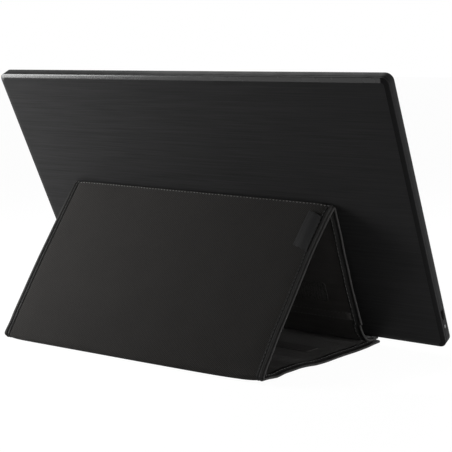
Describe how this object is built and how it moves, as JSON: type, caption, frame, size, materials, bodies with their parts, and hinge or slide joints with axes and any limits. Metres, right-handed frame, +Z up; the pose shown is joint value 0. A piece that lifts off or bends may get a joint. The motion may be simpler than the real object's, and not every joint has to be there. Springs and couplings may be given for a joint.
{
  "type": "portable monitor with cover",
  "caption": "Slim portable USB monitor leaning on its own fabric cover, which is folded into a three-sided stand with a ledge in front.",
  "frame": {"origin": "centre of the bounding box's footprint, on the ground", "axes": "+X along the display's width, to the viewer's right when facing the screen; the screen faces -Y and leans back towards +Y; +Z up"},
  "size_m": [0.3824, 0.1674, 0.2216],
  "materials": {
    "hairline_plastic": "dark grey with fine level hairlines, satin",
    "bezel_plastic": "black, fine grain, satin",
    "screen_film": "black anti-glare, unlit",
    "panel_glass": "clear cell glass",
    "optical_film": "milky clear film",
    "clear_guide": "clear acrylic",
    "white_film": "white reflector",
    "white_plastic": "white moulded",
    "light_strip": "pale yellow light blocks on a white strip",
    "tray_metal": "plain rolled sheet",
    "screw_metal": "zinc plated",
    "port_metal": "nickel plated",
    "circuit_board": "green solder mask",
    "chip_resin": "black, dull",
    "cable_film": "amber film",
    "button_plastic": "black, gloss",
    "lit_window": "clear window, lit white",
    "foam": "black closed-cell foam",
    "twill_cloth": "fine diagonal twill, dull",
    "binding_leather": "fine grained, satin",
    "lining_leather": "smooth, satin",
    "grey_board": "raw edge, dull",
    "tab_satin": "satin weave, blank",
    "hook_tape": "short hooks, rough",
    "loop_tape": "soft loops"
  },
  "bodies": {
    "flap": {"flap_fabric": "twill_cloth", "flap_stiffener": "grey_board", "flap_lining": "lining_leather", "flap_binding": "binding_leather", "front_fold": "binding_leather"},
    "display": {"back_cover": "hairline_plastic", "front_bezel": "bezel_plastic", "front_polariser": "screen_film", "glass_cell": "panel_glass", "rear_polariser": "screen_film", "prism_sheet": "optical_film", "diffuser_sheet": "optical_film", "light_guide": "clear_guide", "reflector_sheet": "white_film", "led_bar": "light_strip", "module_frame": "white_plastic", "module_tray": "tray_metal", "module_screws": "screw_metal", "foam_pads": "foam", "driver_board": "circuit_board", "main_board": "circuit_board", "board_chips": "chip_resin", "board_screws": "screw_metal", "usb_port": "port_metal", "light_window": "lit_window", "screen_cable": "cable_film", "button_cable": "cable_film", "button_board": "circuit_board", "tact_switch": "port_metal"},
    "menu_button": {"menu_button": "button_plastic"},
    "front_panel": {"front_panel_fabric": "twill_cloth", "front_panel_stiffener": "grey_board", "front_panel_lining": "lining_leather", "front_panel_binding": "binding_leather", "hook_patches": "hook_tape", "top_fold": "twill_cloth"},
    "rear_panel": {"rear_panel_fabric": "twill_cloth", "rear_panel_stiffener": "grey_board", "rear_panel_lining": "lining_leather", "rear_panel_binding": "binding_leather", "label_tab": "tab_satin"},
    "floor_panel": {"rear_fold": "twill_cloth", "floor_panel_fabric": "twill_cloth", "floor_panel_stiffener": "grey_board", "floor_panel_lining": "lining_leather", "floor_panel_binding": "binding_leather", "loop_patches": "loop_tape"}
  },
  "joints": [
    {"name": "display_lift", "type": "slide", "parent": "flap", "child": "display", "axis": [0, 0.4384, 0.8988], "range_m": [0, 0.08]},
    {"name": "menu_press", "type": "slide", "parent": "display", "child": "menu_button", "axis": [0, 0.8988, -0.4384], "range_m": [0, 0.0005], "stiffness_N_per_m": 600, "springref_m": -0.0004},
    {"name": "front_fold", "type": "hinge", "parent": "flap", "child": "front_panel", "pos_m": [0, -0.05924, 0.00815], "axis": [1, 0, 0], "range_deg": [-69.3, 0.1], "deforming": ["front_fold"]},
    {"name": "top_fold", "type": "hinge", "parent": "front_panel", "child": "rear_panel", "pos_m": [0, -0.01218, 0.11894], "axis": [1, 0, 0], "range_deg": [0, 120.5], "deforming": ["top_fold"]},
    {"name": "rear_fold", "type": "hinge", "parent": "rear_panel", "child": "floor_panel", "pos_m": [0, 0.08054, 0.0032], "axis": [1, 0, 0], "range_deg": [-0.1, 128.8], "deforming": ["rear_fold"]}
  ],
  "couplings": [
    {"joint": "front_fold", "follows": "top_fold", "ratio": -0.57427},
    {"joint": "rear_fold", "follows": "top_fold", "ratio": 1.068}
  ]
}
